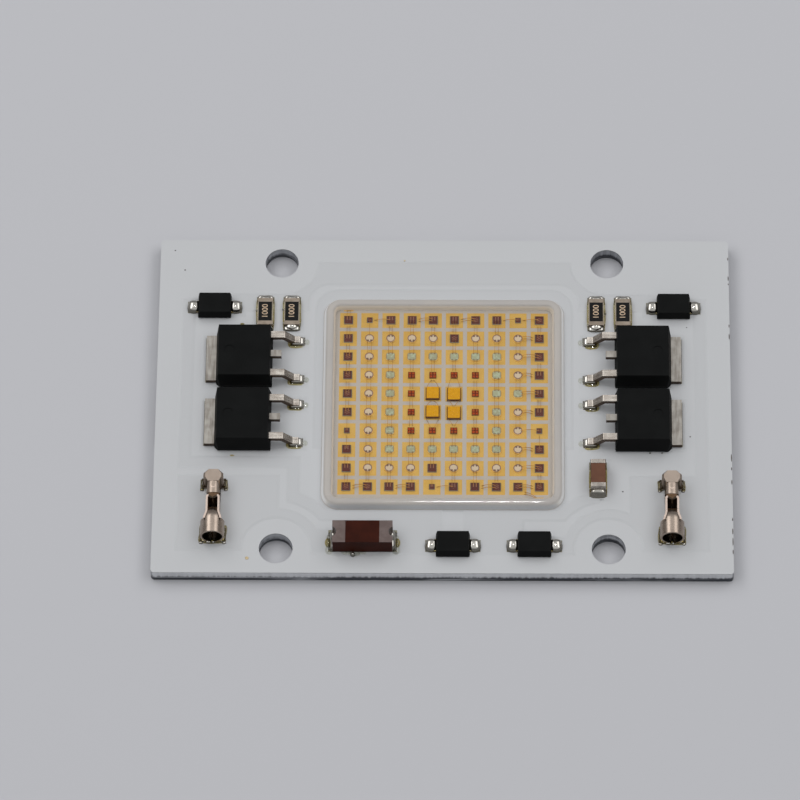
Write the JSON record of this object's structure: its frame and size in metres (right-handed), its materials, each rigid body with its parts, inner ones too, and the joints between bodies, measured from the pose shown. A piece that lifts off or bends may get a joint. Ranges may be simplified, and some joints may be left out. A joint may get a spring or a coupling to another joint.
{
  "type": "led module",
  "caption": "Flat white LED light-engine board: a square array of bare dies under clear gel inside a bead, with driver parts, wire terminals and corner screw holes round it.",
  "frame": {"origin": "centre of the board's underside, which is the face that lies on a heat sink", "axes": "+X along the board's length, +Y away from the mouths of the wire terminals, +Z the way the light leaves"},
  "size_m": [0.06, 0.04, 0.0042],
  "materials": {
    "core": "sheared edges, satin",
    "insulation": "thin filled resin layer",
    "copper": "foil, hidden under the mask",
    "mask": "white solder mask, satin",
    "dam": "white silicone, glossy",
    "gel": "clear silicone, glossy",
    "gold": "plated, satin",
    "large_die": "dark chip with a contact on top",
    "small_die": "dark chip",
    "round_die": "pale chip",
    "clear_die": "clear greenish chip",
    "red_die": "red chip",
    "plate_chip": "dark chip under a plate",
    "phosphor": "phosphor ceramic",
    "moulding": "moulded, matte",
    "tinned": "tin plating on copper",
    "ceramic": "white ceramic",
    "coat": "black glaze",
    "capacitor": "brown ceramic",
    "fuse": "dark brown laminate",
    "fuse_cap": "dull plating",
    "terminal": "tinned sheet",
    "solder": "solder, bright"
  },
  "bodies": {
    "root": {"core_plate": "core", "insulation": "insulation", "copper_traces": "copper", "solder_mask": "mask", "dam": "dam", "gel": "gel", "die_pads": "gold", "string_end_pads": "gold", "large_dies": "large_die", "small_dies": "small_die", "round_dies": "round_die", "clear_dies": "clear_die", "red_dies": "red_die", "plate_chips": "plate_chip", "phosphor_plates": "phosphor", "bond_wires": "gold", "driver_1_body": "moulding", "driver_1_tab": "tinned", "driver_1_leads": "tinned", "driver_2_body": "moulding", "driver_2_tab": "tinned", "driver_2_leads": "tinned", "driver_3_body": "moulding", "driver_3_tab": "tinned", "driver_3_leads": "tinned", "driver_4_body": "moulding", "driver_4_tab": "tinned", "driver_4_leads": "tinned", "diode_1_body": "moulding", "diode_1_leads": "tinned", "diode_2_body": "moulding", "diode_2_leads": "tinned", "diode_3_body": "moulding", "diode_3_leads": "tinned", "diode_4_body": "moulding", "diode_4_leads": "tinned", "resistor_1_core": "ceramic", "resistor_1_coat": "coat", "resistor_1_ends": "tinned", "resistor_2_core": "ceramic", "resistor_2_coat": "coat", "resistor_2_ends": "tinned", "resistor_3_core": "ceramic", "resistor_3_coat": "coat", "resistor_3_ends": "tinned", "resistor_4_core": "ceramic", "resistor_4_coat": "coat", "resistor_4_ends": "tinned", "capacitor_body": "capacitor", "capacitor_ends": "tinned", "fuse_body": "fuse", "fuse_caps": "fuse_cap", "terminal_left": "terminal", "terminal_right": "terminal", "driver_solder": "solder", "diode_solder": "solder", "chip_solder": "solder", "fuse_solder": "solder", "terminal_solder": "solder"}
  },
  "joints": []
}
